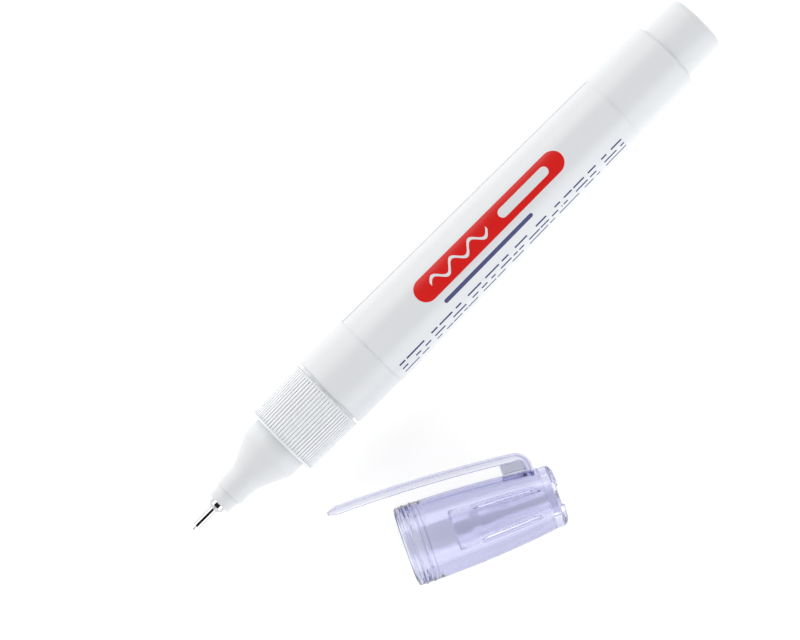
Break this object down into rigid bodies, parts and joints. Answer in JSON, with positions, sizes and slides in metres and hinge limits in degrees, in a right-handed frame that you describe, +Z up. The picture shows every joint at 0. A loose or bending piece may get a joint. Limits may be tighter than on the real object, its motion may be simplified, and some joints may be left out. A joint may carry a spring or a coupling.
{
  "type": "correction pen",
  "caption": "Squeeze-barrel correction pen with a sprung steel needle point, ribbed collar and film label, lying uncapped beside its see-through clip cap.",
  "frame": {"origin": "on the ground, under the middle of the box round the pen and its cap", "axes": "+X from the needle point to the tail, +Z up, cap on the -Y side"},
  "size_m": [0.1274, 0.0542, 0.0154],
  "materials": {
    "white_barrel": "smooth, soft gloss",
    "label_film": "glossy printed film",
    "white_moulding": "moulded, slightly satin",
    "seal_rubber": "soft",
    "valve_plastic": "moulded",
    "needle_steel": "polished, turned",
    "spring_steel": "drawn wire",
    "ball_steel": "polished",
    "cap_violet": "see-through, polished",
    "sleeve_violet": "see-through, satin"
  },
  "bodies": {
    "pen": {"barrel": "white_barrel", "label_sleeve": "label_film", "tail_plug": "white_moulding", "collar": "white_moulding", "neck_seal": "seal_rubber", "nozzle": "white_moulding", "tip_ferrule": "needle_steel", "needle_tube": "needle_steel", "valve_spring": "spring_steel", "spring_retainer": "valve_plastic"},
    "valve": {"valve_pin": "needle_steel", "valve_plunger": "valve_plastic"},
    "ball": {"mixing_ball": "ball_steel"},
    "cap": {"cap_shell": "cap_violet", "cap_inner_sleeve": "sleeve_violet", "cap_crown": "cap_violet"},
    "clip": {"cap_clip": "cap_violet"}
  },
  "joints": [
    {"name": "valve_press", "type": "slide", "parent": "pen", "child": "valve", "axis": [0.9999, 0, -0.0117], "range_m": [0, 0.0005], "stiffness_N_per_m": 600, "springref_m": -0.0005, "deforming": ["valve_spring"]},
    {"name": "ball_roll", "type": "slide", "parent": "pen", "child": "ball", "axis": [1, 0, 0], "range_m": [-0.033, 0.033]},
    {"name": "cap_pull", "type": "slide", "parent": "pen", "child": "cap", "axis": [0.8988, -0.4384, 0], "range_m": [0, 0.03]},
    {"name": "clip_flex", "type": "hinge", "parent": "cap", "child": "clip", "pos_m": [-0.01372, -0.01508, 0.00637], "axis": [-0.043, 0.021, -0.9989], "range_deg": [0, 6], "stiffness_Nm_per_rad": 1.5}
  ]
}
